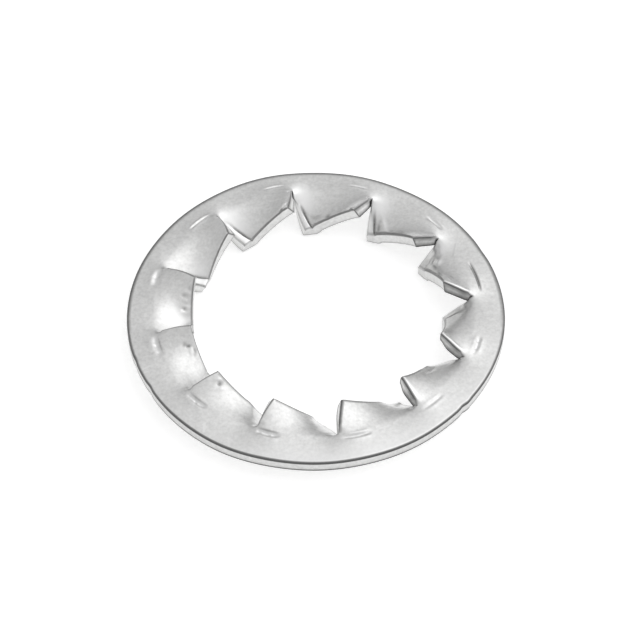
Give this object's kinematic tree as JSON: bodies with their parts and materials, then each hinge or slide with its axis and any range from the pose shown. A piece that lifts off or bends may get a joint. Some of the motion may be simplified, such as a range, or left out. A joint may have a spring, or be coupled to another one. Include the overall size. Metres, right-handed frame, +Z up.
{
  "type": "toothed lock washer",
  "caption": "Flat steel ring with twisted teeth round its bolt hole, whose edges bite under a bolt head or nut so that it can't work loose.",
  "frame": {"origin": "centre of the hole, on the plane that the lowered tooth corners rest on", "axes": "+Z up along the bolt's axis; +X along the middle of one tooth; every tooth's clockwise edge, seen from +Z, is the raised one"},
  "size_m": [0.0258, 0.0258, 0.0031],
  "materials": {
    "steel": "satin, lightly tumbled sheet steel with bare stamped edges"
  },
  "bodies": {
    "root": {"toothed_lock_washer": "steel"}
  },
  "joints": []
}
